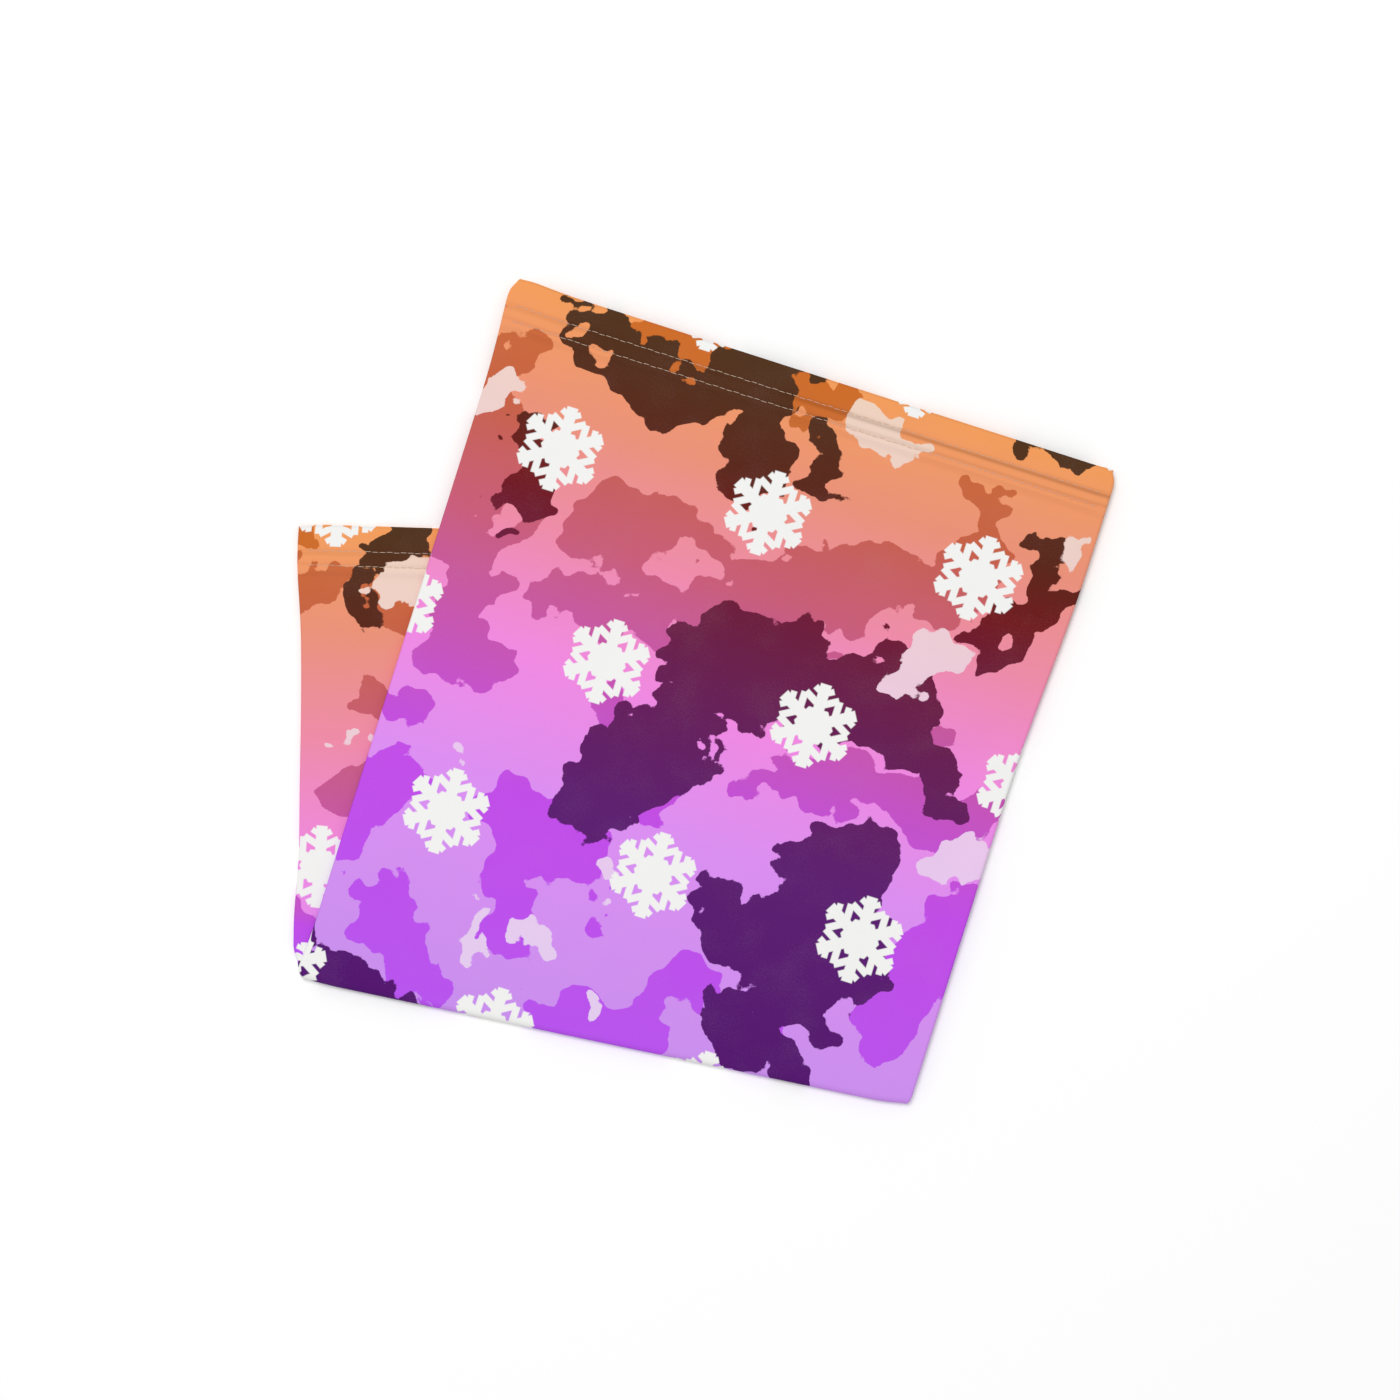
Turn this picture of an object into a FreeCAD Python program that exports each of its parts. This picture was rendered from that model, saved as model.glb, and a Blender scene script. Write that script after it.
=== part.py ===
"""Neck gaiter: a knitted tube pressed flat to two plies and folded once across into two leaves.

The lower leaf lies on the ground. The upper leaf lies on it, turned a little, so that one strip of the
lower leaf stays in view. Each leaf is two plies of cloth that meet at a rounded crease on either side, and
each open end of the tube has a turned-in hem held by two rows of needle thread and one looper thread. A
seam runs down the middle of the tube's back. The back is the inner side of the fold.

Everything is laid out in the fold's own frame: x runs along the fold, y points from the fold into the
leaves, and z is up. FOLD_FRAME turns and moves that frame into the row frame, whose origin is the middle of
the footprint, on the ground.
"""

import FreeCAD, Part
import os
import Sketcher

# Driving sizes, in millimetres and degrees.
SIZES = {
    "fold_x": -159.22,  # left end of the fold's axis, in the row frame
    "fold_y": -108.127,
    "fold_slope": 12.06,  # how far the fold runs down to the right
    "fold_length": 246.0,
    "upper_side": 282.6,  # left side of the upper leaf, from the fold's axis to the mouth
    "upper_lean": 5.44,  # its lean to the right of the fold's square
    "upper_hem_slope": -5.14,
    "lower_side": 174.6,
    "lower_lean": -12.1,
    "lower_hem_slope": 10.26,
    "ply": 0.5,  # cloth thickness
    "cavity": 1.4,  # room between the two plies of a leaf, which holds hems and seam
    "leaf_gap": 0.4,  # air between the two leaves
    "setback": 0.8,  # from the fold's axis to where the plies start
    "clearance": 0.05,  # between a crease and the plies beside it
    "crease_start": 1.2,  # from the fold's axis to where the creases start
    "hem_depth": 18.0,
    "hem_end_gap": 2.0,  # from a leaf's side to the end of its turned-in hem and its threads
    "first_row": 10.2,  # needle rows, from the mouth
    "second_row": 16.0,
    "thread_width": 0.4,
    "thread_depth": 0.2,
    "looper_depth": 0.15,
    "seam_width": 6.0,
    "seam_depth": 0.8,  # two trimmed edges of cloth pressed to one side
    "seam_slit": 0.2,
    "seam_end_gap": 1.0,  # from the seam's ends to the fold and to the hem
}

FOLD_FRAME = "placement(vector(sizes.fold_x; sizes.fold_y; 0); rotation(vector(0; 0; 1); -sizes.fold_slope))"
LEAF = "(2 * sizes.ply + sizes.cavity)"  # thickness of one leaf
AXIS_Z = f"({LEAF} + sizes.leaf_gap / 2)"  # height of the fold's axis
BOTTOM = {"lower": "0", "upper": f"({LEAF} + sizes.leaf_gap)"}  # underside of each leaf
FACES_UP = {"lower_front": False, "lower_back": True, "upper_back": False, "upper_front": True}
MIDDLE = "sizes.fold_length / 2"

doc = FreeCAD.newDocument("neck_gaiter")
sheet = doc.addObject("Spreadsheet::Sheet", "sizes")
for row, (word, value) in enumerate(SIZES.items(), 1):
    sheet.set(f"A{row}", word)
    sheet.set(f"B{row}", str(value))
    sheet.setAlias(f"B{row}", word)
doc.recompute()

nodes = []


def named(piece, label):
    """Gives a finished sub-part its label and keeps it for writing."""
    piece.Label = label
    nodes.append(piece)
    return piece


def place(piece, x, y, z, turn="0"):
    """Binds a piece's place to a point of the fold's frame, turned by an angle about z."""
    own = f"placement(vector({x}; {y}; {z}); rotation(vector(0; 0; 1); {turn}))"
    piece.setExpression("Placement", f"{FOLD_FRAME} * {own}")


class Leaf:
    """One leaf's plan as expressions: two parallel sides, the fold at one end and a mouth at the other."""

    def __init__(self, name):
        side, lean = f"sizes.{name}_side", f"(sizes.{name}_lean * 1 deg)"
        slope = f"(sizes.{name}_hem_slope * 1 deg)"
        self.name = name
        self.turn = f"-sizes.{name}_lean"
        self.hem_turn = f"sizes.{name}_hem_slope"
        self.along = (f"sin({lean})", f"cos({lean})")  # up the sides
        self.across = (f"cos({lean})", f"-sin({lean})")  # square to the sides
        self.hem = (f"cos({slope})", f"sin({slope})")  # along the mouth
        self.skew = f"cos({lean} + {slope})"
        self.corner = (f"{side} * sin({lean})", f"{side} * cos({lean})")
        self.hem_length = f"(sizes.fold_length * cos({lean}) / {self.skew})"
        drop = f"({self.hem_length} * sin({lean} + {slope}) - sizes.fold_length * sin({lean}))"
        self.left = side
        self.right = f"({side} + {drop})"
        self.middle = f"({side} + {drop} / 2)"
        self.inset = f"({LEAF} / 2 + sizes.clearance)"

    def outline(self):
        """Corners of a ply, clear of both creases and of the fold."""
        run = f"sizes.setback * {self.along[0]} / {self.along[1]}"
        step = f"{self.inset} / {self.along[1]}"
        near, far = f"{self.inset} / {self.skew}", f"({self.hem_length} - {self.inset} / {self.skew})"
        return [
            (f"{run} + {step}", "sizes.setback"),
            (f"sizes.fold_length + {run} - {step}", "sizes.setback"),
            (f"{self.corner[0]} + {far} * {self.hem[0]}", f"{self.corner[1]} + {far} * {self.hem[1]}"),
            (f"{self.corner[0]} + {near} * {self.hem[0]}", f"{self.corner[1]} + {near} * {self.hem[1]}"),
        ]


LEAVES = {name: Leaf(name) for name in ("lower", "upper")}


def new_sketch(body, name, role="XY_Plane"):
    """A sketch on one of the body's own origin planes."""
    plane = next(o for o in body.Origin.OriginFeatures if o.Role == role)
    made = body.newObject("Sketcher::SketchObject", name)
    made.AttachmentSupport = [(plane, "")]
    made.MapMode = "FlatFace"
    return made


def polygon(sketch, corners, guess):
    """A closed outline whose corners are bound to expressions; guess starts the solver near them."""
    first, count = sketch.GeometryCount, len(corners)
    points = [FreeCAD.Vector(x, y, 0) for x, y in guess]
    for i in range(count):
        sketch.addGeometry(Part.LineSegment(points[i], points[(i + 1) % count]), False)
    for i in range(count):
        sketch.addConstraint(Sketcher.Constraint("Coincident", first + i, 2, first + (i + 1) % count, 1))
    for i, (corner, point) in enumerate(zip(corners, points)):
        for kind, size, value in (("DistanceX", corner[0], point.x), ("DistanceY", corner[1], point.y)):
            index = sketch.addConstraint(Sketcher.Constraint(kind, -1, 1, first + i, 1, value))
            sketch.setExpression(f"Constraints[{index}]", size)


def half_ring(sketch, outer, inner):
    """Half of a ring, bulging to -x, with its flat ends on the sketch's y axis."""
    middle, up = FreeCAD.Vector(0, 0, 0), FreeCAD.Vector(0, 0, 1)
    quarter = 3.141592653589793 / 2
    guess = {0: 2.0, 1: 1.0}  # outer and inner arc, with radii to start the solver from
    for radius in guess.values():
        sketch.addGeometry(Part.ArcOfCircle(Part.Circle(middle, up, radius), quarter, 3 * quarter), False)
    for side in (1, -1):
        ends = [FreeCAD.Vector(0, side * radius, 0) for radius in guess.values()]
        sketch.addGeometry(Part.LineSegment(*ends), False)
    for arc, size in ((0, outer), (1, inner)):
        sketch.addConstraint(Sketcher.Constraint("Coincident", arc, 3, -1, 1))
        for end, line in ((1, 2), (2, 3)):
            sketch.addConstraint(Sketcher.Constraint("Coincident", arc, end, line, arc + 1))
            sketch.addConstraint(Sketcher.Constraint("PointOnObject", arc, end, -2))
        index = sketch.addConstraint(Sketcher.Constraint("Radius", arc, guess[arc]))
        sketch.setExpression(f"Constraints[{index}]", size)


def pad(body, sketch, length, reversed_way=False):
    made = body.newObject("PartDesign::Pad", f"{sketch.Name}_pad")
    made.Profile = sketch
    made.Reversed = reversed_way
    made.setExpression("Length", length)
    sketch.Visibility = False
    return made


def pocket(body, sketch, depth, reversed_way):
    """Cuts a sketch into the body, and makes sure that it took something away."""
    doc.recompute()
    before = body.Shape.Volume
    made = body.newObject("PartDesign::Pocket", f"{sketch.Name}_pocket")
    made.Profile = sketch
    made.Reversed = reversed_way
    made.setExpression("Length", depth)
    doc.recompute()
    if not made.Shape.Volume < before:
        raise SystemExit(f"{made.Name} cuts nothing")
    return made


def seam_slit(body, leaf, keep):
    """Cuts a ply away on the far side of the seam, half a slit from its line."""
    cut = new_sketch(body, f"{body.Name}_slit")
    cut.setExpression("AttachmentOffset.Base.x", MIDDLE)
    cut.setExpression("AttachmentOffset.Rotation.Angle", leaf.turn)
    side = "1" if keep == "left" else "(-1)"
    near, far = f"-{side} * sizes.seam_slit / 2", f"{side} * sizes.fold_length"
    low, high = "-sizes.fold_length", "2 * sizes.upper_side"
    reach = 200 if keep == "left" else -200
    guess = [(0, -200), (reach, -200), (reach, 500), (0, 500)]
    polygon(cut, [(near, low), (far, low), (far, high), (near, high)], guess)
    pocket(body, cut, "sizes.ply", True)


def thread_grooves(body, leaf, faces_up):
    """Sinks the two needle rows into the ply's outer face."""
    for number, row in enumerate(("first_row", "second_row"), 1):
        cut = new_sketch(body, f"{body.Name}_row{number}")
        cut.setExpression("AttachmentOffset.Base.x", leaf.corner[0])
        cut.setExpression("AttachmentOffset.Base.y", leaf.corner[1])
        cut.setExpression("AttachmentOffset.Base.z", "sizes.ply" if faces_up else "0")
        cut.setExpression("AttachmentOffset.Rotation.Angle", leaf.hem_turn)
        low = f"-sizes.{row} - sizes.thread_width / 2"
        high = f"-sizes.{row} + sizes.thread_width / 2"
        ends = ("-sizes.hem_depth", f"{leaf.hem_length} + sizes.hem_depth")
        corners = [(ends[0], low), (ends[1], low), (ends[1], high), (ends[0], high)]
        polygon(cut, corners, [(-18, -10.4), (262, -10.4), (262, -10), (-18, -10)])
        pocket(body, cut, "sizes.thread_depth", not faces_up)


def ply_height(ply):
    """Underside of a ply in the row frame."""
    leaf, _ = ply.split("_")
    return f"({BOTTOM[leaf]} + sizes.ply + sizes.cavity)" if FACES_UP[ply] else BOTTOM[leaf]


def panel(ply, half=None):
    """A ply of printed cloth; a back ply comes as two halves that meet at the seam."""
    leaf = LEAVES[ply.split("_")[0]]
    label = f"{ply}_panel" + (f"_{half}" if half else "")
    body = doc.addObject("PartDesign::Body", label)
    outline = new_sketch(body, f"{label}_outline")
    polygon(outline, leaf.outline(), [(1, 1), (244, 1), (230, 200), (-10, 220)])
    pad(body, outline, "sizes.ply")
    if half:
        seam_slit(body, leaf, half)
    thread_grooves(body, leaf, FACES_UP[ply])
    place(body, "0", "0", ply_height(ply))
    named(body, label)


def box(label, leaf, start, size, height, origin="hem"):
    """A straight strip in the frame of a leaf's hem or seam: start and size are (along x, along y)."""
    strip = doc.addObject("Part::Box", label)
    for prop, length in zip(("Length", "Width", "Height"), size):
        strip.setExpression(prop, length)
    base, turn = (leaf.corner, leaf.hem_turn) if origin == "hem" else ((MIDDLE, "0"), leaf.turn)
    outer = f"placement(vector({base[0]}; {base[1]}; {height}); rotation(vector(0; 0; 1); {turn}))"
    inner = f"placement(vector({start[0]}; {start[1]}; 0); rotation(vector(0; 0; 1); 0))"
    strip.setExpression("Placement", f"{FOLD_FRAME} * {outer} * {inner}")
    return strip


def hem(ply):
    """The turned-in band of a ply's hem, its two needle rows outside and its looper thread inside."""
    leaf, up = LEAVES[ply.split("_")[0]], FACES_UP[ply]
    base = ply_height(ply)
    across = f"{leaf.hem_length} - 2 * sizes.hem_end_gap"
    band_base = f"{base} - sizes.ply" if up else f"{base} + sizes.ply"
    band = box(f"{ply}_hem_turn", leaf, ("sizes.hem_end_gap", "-sizes.hem_depth"),
               (across, "sizes.hem_depth", "sizes.ply"), band_base)
    named(band, f"{ply}_hem_turn")

    row_base = f"{base} + sizes.ply - sizes.thread_depth" if up else base
    rows = []
    for row in ("first_row", "second_row"):
        start = ("sizes.hem_end_gap", f"-sizes.{row} - sizes.thread_width / 2")
        size = (across, "sizes.thread_width", "sizes.thread_depth")
        rows.append(box(f"{ply}_{row}", leaf, start, size, row_base))
    threads = doc.addObject("Part::Compound", f"{ply}_needle_threads")
    threads.Links = rows
    named(threads, f"{ply}_needle_threads")

    looper_base = f"{base} - sizes.ply - sizes.looper_depth" if up else f"{base} + 2 * sizes.ply"
    looper = box(f"{ply}_looper_thread", leaf, ("sizes.hem_end_gap", "-sizes.second_row"),
                 (across, "sizes.second_row - sizes.first_row", "sizes.looper_depth"), looper_base)
    named(looper, f"{ply}_looper_thread")


def seam(name):
    """The seam's trimmed edges, pressed to one side inside a leaf, and the thread that wraps them."""
    leaf, ply = LEAVES[name], f"{name}_back"
    base, up = ply_height(ply), FACES_UP[ply]
    gap = "(sizes.setback + sizes.seam_end_gap)"
    length = f"{leaf.middle} - sizes.hem_depth - sizes.seam_end_gap - 2 * {gap}"
    levels = {
        "seam_allowance": ("sizes.seam_depth", f"{base} - sizes.seam_depth" if up else f"{base} + sizes.ply"),
        "seam_thread": (
            "sizes.thread_depth",
            f"{base} - sizes.seam_depth - sizes.thread_depth"
            if up
            else f"{base} + sizes.ply + sizes.seam_depth",
        ),
    }
    for part_name, (depth, height) in levels.items():
        strip = box(f"{name}_{part_name}", leaf, ("0", gap), ("sizes.seam_width", length, depth), height, "seam")
        named(strip, f"{name}_{part_name}")


def crease(name, side):
    """The rounded side of a leaf, where the cloth turns from its front ply to its back ply."""
    leaf = LEAVES[name]
    label = f"{name}_{side}_crease"
    body = doc.addObject("PartDesign::Body", label)
    profile = new_sketch(body, f"{label}_profile", "XZ_Plane")
    half_ring(profile, f"{LEAF} / 2", "sizes.cavity / 2")
    pad(body, profile, f"{leaf.left if side == 'left' else leaf.right} - 2 * sizes.crease_start", True)
    start, step = "sizes.crease_start", f"{LEAF} / 2"
    sign, corner = ("+", "0") if side == "left" else ("-", "sizes.fold_length")
    x = f"{corner} + {start} * {leaf.along[0]} {sign} {step} * {leaf.across[0]}"
    y = f"{start} * {leaf.along[1]} {sign} {step} * ({leaf.across[1]})"
    own = f"placement(vector({x}; {y}; {BOTTOM[name]} + {step}); rotation(vector(0; 0; 1); {leaf.turn}))"
    flip = f"placement(vector(0; 0; 0); rotation(vector(0; 1; 0); {0 if side == 'left' else 180}))"
    body.setExpression("Placement", f"{FOLD_FRAME} * {own} * {flip}")
    named(body, label)


def fold(label, outer, inner):
    """The cloth that turns round the fold's axis, from one leaf to the other."""
    body = doc.addObject("PartDesign::Body", label)
    profile = new_sketch(body, f"{label}_profile", "YZ_Plane")
    half_ring(profile, outer, inner)
    pad(body, profile, f"sizes.fold_length - 2 * {LEAVES['lower'].inset}")
    place(body, LEAVES["lower"].inset, "sizes.setback", AXIS_Z)
    named(body, label)


for leaf_name in ("lower", "upper"):
    panel(f"{leaf_name}_front")
    for half_name in ("left", "right"):
        panel(f"{leaf_name}_back", half_name)
        crease(leaf_name, half_name)
    for ply_name in ("front", "back"):
        hem(f"{leaf_name}_{ply_name}")
    seam(leaf_name)
fold("outer_fold", AXIS_Z, f"({AXIS_Z} - sizes.ply)")
fold("inner_fold", "(sizes.leaf_gap / 2 + sizes.ply)", "sizes.leaf_gap / 2")

doc.recompute()
for thing in doc.Objects:
    if {"Invalid", "Error"} & set(thing.State):
        raise SystemExit(f"{thing.Name} failed: {thing.State}")
for piece in nodes:
    if piece.Shape.isNull() or not piece.Shape.isValid():
        raise SystemExit(f"{piece.Label} has no valid shape")

os.makedirs("parts", exist_ok=True)
whole = FreeCAD.BoundBox()
for piece in nodes:
    piece.Shape.exportStep(f"parts/{piece.Label}.step")
    whole.add(piece.Shape.BoundBox)
    print(f"{piece.Label:32s} {len(piece.Shape.Solids)} solid(s) {piece.Shape.Volume:10.1f} mm3")
print(f"{len(nodes)} nodes, {whole.XLength:.2f} x {whole.YLength:.2f} x {whole.ZLength:.2f} mm")
print(f"middle of the footprint {whole.Center.x:.3f}, {whole.Center.y:.3f}, bottom {whole.ZMin:.3f}")
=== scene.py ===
# %% [markdown]
# # A knitted neck gaiter, folded once
#
# The real thing is one tube of thin printed jersey, pressed flat and folded once across, so that four plies
# lie on each other. The imported model gives each ply, crease and thread its place. It is loaded first as the
# frame. Some pieces made below are parented to empties named after its bodies; the rest stay where they are
# made.

# %% Load the frame
import math

import bpy
import numpy as np
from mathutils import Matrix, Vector


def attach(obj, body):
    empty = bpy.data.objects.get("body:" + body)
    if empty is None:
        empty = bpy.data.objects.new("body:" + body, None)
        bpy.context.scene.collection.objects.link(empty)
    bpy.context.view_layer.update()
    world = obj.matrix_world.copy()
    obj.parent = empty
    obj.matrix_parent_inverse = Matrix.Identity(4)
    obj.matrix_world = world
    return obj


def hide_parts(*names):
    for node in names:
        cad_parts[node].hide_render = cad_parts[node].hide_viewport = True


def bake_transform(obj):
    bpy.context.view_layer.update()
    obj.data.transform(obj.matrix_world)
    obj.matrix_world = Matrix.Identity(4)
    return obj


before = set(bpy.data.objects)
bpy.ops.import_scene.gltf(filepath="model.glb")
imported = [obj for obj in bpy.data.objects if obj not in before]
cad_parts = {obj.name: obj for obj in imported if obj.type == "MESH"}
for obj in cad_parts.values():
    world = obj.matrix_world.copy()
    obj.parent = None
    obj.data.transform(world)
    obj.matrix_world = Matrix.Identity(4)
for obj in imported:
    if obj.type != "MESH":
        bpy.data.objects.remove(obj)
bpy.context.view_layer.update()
MM = 0.001

# %% [markdown]
# ## The two leaves
#
# Folding the tube gives two leaves: the lower one on the table, the upper one on it and turned a little.
# Each is a flat stadium in section, two plies joined by a rounded crease at either side. A grid of points
# worked out from a formula suits such cloth: neighbouring pieces share the same edges exactly, and every
# point knows how far round the tube and how far from the hem it is, which the print needs. Lengths are in
# millimetres.

# %% The plan of a leaf
FOLD_START = np.array([-159.22, -108.127])
FOLD_SLOPE = math.radians(12.06)
FOLD_LENGTH = 246.0
ALONG_FOLD = np.array([math.cos(FOLD_SLOPE), -math.sin(FOLD_SLOPE)])
FROM_FOLD = np.array([math.sin(FOLD_SLOPE), math.cos(FOLD_SLOPE)])
ROLL = 1.2  # radius of a side crease, half a leaf's thickness
SETBACK = 0.8  # where the plies start, measured from the fold's axis
AXIS_HEIGHT = 2.6
TUBE = 471.0  # hem to hem along the cloth
AROUND = 490.0  # once round the tube
PLY_WIDTH = 241.2  # flat part of a ply, between its creases
EDGE = 1.9  # half of the cloth in a crease
FOLD_CLOTH = 6.0  # cloth that the fold takes up
CORNER = 3.5  # how far from a corner of the mouth its rounding reaches
INSIDE_STRETCH = 6.2  # what the inside ply lacks on its shorter way round the fold


def row_frame(x, y, z):
    """Points of the fold's own frame, in millimetres, as points of the row frame in metres."""
    plan = FOLD_START + x[..., None] * ALONG_FOLD + y[..., None] * FROM_FOLD
    return np.concatenate([plan, z[..., None]], axis=-1) * MM


def smooth(x):
    x = np.clip(x, 0, 1)
    return x * x * (3 - 2 * x)


def fold_bow(q):
    """How far the outside of the fold hangs out past its axis: it bows a little, and most at the left."""
    return 3.1 - 0.9 * q - 0.5 * np.exp(-((q / 0.04) ** 2)) - 1.0 * np.exp(-(((1 - q) / 0.03) ** 2))


class Leaf:
    """One leaf: q runs across it from 0 to 1, roll from 0 on its top ply to pi on its bottom ply."""

    def __init__(self, name, left, right, lean, middle, front_up, dips):
        self.name, self.left, self.right, self.middle = name, left, right, middle
        self.lean, self.front_up, self.dips = math.radians(lean), front_up, dips
        self.along = np.array([math.sin(self.lean), math.cos(self.lean)])
        self.start = SETBACK / self.along[1]

    def length(self, q):
        return self.left + (self.right - self.left) * q

    def outside(self, roll):
        """1 on the ply that lies outside at the fold, 0 on the one inside."""
        return (1 + np.cos(roll)) / 2 if self.front_up else (1 - np.cos(roll)) / 2

    def mouth_dip(self, q):
        """How far the mouth's edge falls back at the corners, where the cloth goes round the sides."""
        near = [np.exp(-((d / CORNER) ** 2)) for d in (q * PLY_WIDTH, (1 - q) * PLY_WIDTH)]
        slant = 2.6 * q - 1.3 - np.exp(-((q / 0.06) ** 2)) if self.front_up else 0 * q
        return self.dips[0] * near[0] + self.dips[1] * near[1] + slant

    def spread(self, q, distance, from_mouth):
        """How far the sides stand out from straight: cloth flares at the mouth and at the fold's corner."""
        left = np.exp(-((distance / 10) ** 2))
        if self.front_up:
            left = left + 2.0 * np.exp(-((from_mouth / 24) ** 2))
            rounded = 2.4 * np.exp(-((from_mouth / CORNER) ** 2))
            right = 3.5 * smooth((135 - from_mouth) / 95) - rounded * 0.8
            return right * q**3 - (left - rounded) * (1 - q) ** 3
        left = left + 2.7 * smooth(distance / 10) * np.exp(-(((distance - 16) / 22) ** 2))
        left = left + 1.5 * np.exp(-(((from_mouth - 14) / 20) ** 2))
        left = left + 0.7 * np.exp(-(((distance - 62) / 30) ** 2))
        return -left * (1 - q) ** 3

    def point(self, q, roll, from_mouth, depth, lift=0.0):
        """A point of the printed face, or depth under it, by its distance from the mouth's edge."""
        length = self.length(q)
        distance = length - from_mouth - self.mouth_dip(q) * np.clip(1 - from_mouth / 30, 0, 1)
        near_fold = smooth(distance / 12)
        lean = self.lean * near_fold
        sign = np.where(q < 0.5, -1.0, 1.0)
        side = sign * (ROLL - depth) * np.sin(roll)
        inset = ROLL * (1 - 2 * q) + self.spread(q, distance, from_mouth)
        x = FOLD_LENGTH * q + distance * self.along[0] + (inset + side) * np.cos(lean)
        bow = fold_bow(q) * self.outside(roll) * smooth((70 - distance) / 70)
        y = distance * self.along[1] - (inset + side) * np.sin(lean) - bow
        z = self.middle + (ROLL - depth + lift) * np.cos(roll)
        return row_frame(x, y, z)

    def cloth_place(self, q, roll, from_mouth):
        """Distance round the tube and distance from the upper hem, both along the cloth."""
        turned = roll / math.pi if self.front_up else 1 - roll / math.pi  # 0 on the front, 1 on the back
        left = EDGE * (1 - 2 * turned) + q * PLY_WIDTH * np.where(turned < 0.5, 1, -1)
        right = PLY_WIDTH + EDGE + 2 * EDGE * turned + (1 - q) * PLY_WIDTH * np.where(turned < 0.5, -1, 1)
        around = np.where(q < 0.5, left, right)
        if self.front_up:
            return around, from_mouth * (1 + INSIDE_STRETCH * (1 - self.outside(roll)) / self.length(q))
        upper = UPPER.length(q) + FOLD_CLOTH
        return around, TUBE - from_mouth * (TUBE - upper) / (self.length(q) - self.start)


UPPER = Leaf("upper", 282.6, 260.6, 5.44, 4.0, True, (0.4, -0.4))
LOWER = Leaf("lower", 174.6, 218.4, -12.1, 1.2, False, (0.8, 1.0))
print("upper leaf", UPPER.left, "to", UPPER.right, "mm; lower leaf", LOWER.left, "to", LOWER.right, "mm")

# %% [markdown]
# ## Rows and columns
#
# A hem is the end of the cloth turned 18 mm inside and held by two rows of stitches. So the rows of the grid
# start at the end of the turned-in band, run to the mouth, go round it in a tight half turn, and then run
# down the ply to the fold. Rows lie closer together over the hem, whose stitches press grooves into the cloth.

# %% Rows from the turned-in band to the fold
HEM = 18.0
STITCH_ROWS = (10.2, 16.0)
TURN = 0.5  # outer radius of the cloth at the mouth
RIDGE, GROOVE = 0.45, 0.34  # how far the hem stands proud, and how deep its stitches press in
STITCH = 2.8
STEP = 1.25
ROWS_END = 30.0  # how far from the mouth the hem's own rows go


def hem_rows():
    """(distance from the mouth, depth, place on the cloth): band, half turn, then the first stretch of ply."""
    band = [(d, 2 * TURN, -d - 1.1) for d in np.arange(HEM, 1, -2.0)]
    angles = np.linspace(0, math.pi, 9)
    turn = [(TURN - TURN * math.sin(a), TURN + TURN * math.cos(a), (a - math.pi) * TURN) for a in angles]
    face = [(d, 0.0, d) for d in np.concatenate([np.arange(1.0, 22, 0.4), np.arange(22, ROWS_END + 1, 1.0)])]
    return np.array(band + turn + face)


def hem_relief(from_mouth, around, lift):
    """How far the hem stands proud of the ply, pressed in along its two rows of stitches."""
    ridge = RIDGE * lift * smooth((19.2 - from_mouth) / 1.6)
    pucker = 1 + 0.25 * np.cos(around * 2 * math.pi / STITCH) + 0.3 * np.sin(around / 17.0)
    for row in STITCH_ROWS:
        ridge = ridge - GROOVE * pucker * np.exp(-(((from_mouth - row) / 0.62) ** 2))
    return ridge


def hem_shade(from_mouth, around):
    """Painted shade and how strong it is: in the grooves beside the stitches, at the mouth's edge and where
    the band ends.
    """
    deep = 0.6 + 0.35 * np.sin(around / 78 - 1.2)
    lines = ((0.0, 0.5, 0.7), (11.2, 0.8, deep), (15.0, 0.6, 0.35 * deep), (19.6, 1.0, 0.15))
    return sum(dark * np.exp(-(((from_mouth - middle) / width) ** 2)) for middle, width, dark in lines)


ROWS = hem_rows()
print(len(ROWS), "rows over the hem")

# %% [markdown]
# ## Gentle unevenness
#
# Pressed jersey never lies dead flat. A few long, low waves are enough. They are sums of sine waves with
# fixed directions, which give the same cloth every time, and the same recipe later bends the print.


# %% Waves with a fixed seed
def waves(seed, length, count=7):
    """A smooth field from -1 to 1 or so, whose bumps are about the given length apart."""
    rng = np.random.default_rng(seed)
    turns = rng.uniform(0, 2 * math.pi, count)
    sizes = 2 * math.pi / (length * rng.uniform(0.7, 1.5, count))
    starts = rng.uniform(0, 2 * math.pi, count)

    def field(u, v):
        total = 0.0
        for size, turn, start in zip(sizes, turns, starts):
            total = total + np.sin(size * (u * math.cos(turn) + v * math.sin(turn)) + start)
        return total / math.sqrt(count)

    return field


ply_waves = waves(4, 70)
small_waves = waves(11, 24)
print("waves at the middle of the ply", round(float(ply_waves(120.0, 120.0)), 3))

# %% [markdown]
# ## The print: patches
#
# The jersey is dyed all over in a camouflage of four tones. Such a print can be started like a painting: each
# patch is one stroke of a wide brush, given by the brush's radius and one to three places on the cloth, in
# millimetres round the tube and down from the upper hem. Waves then bend the strokes until they flow. The
# outlines are made by the waves alone, so the strokes only settle where the main patches lie.

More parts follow.
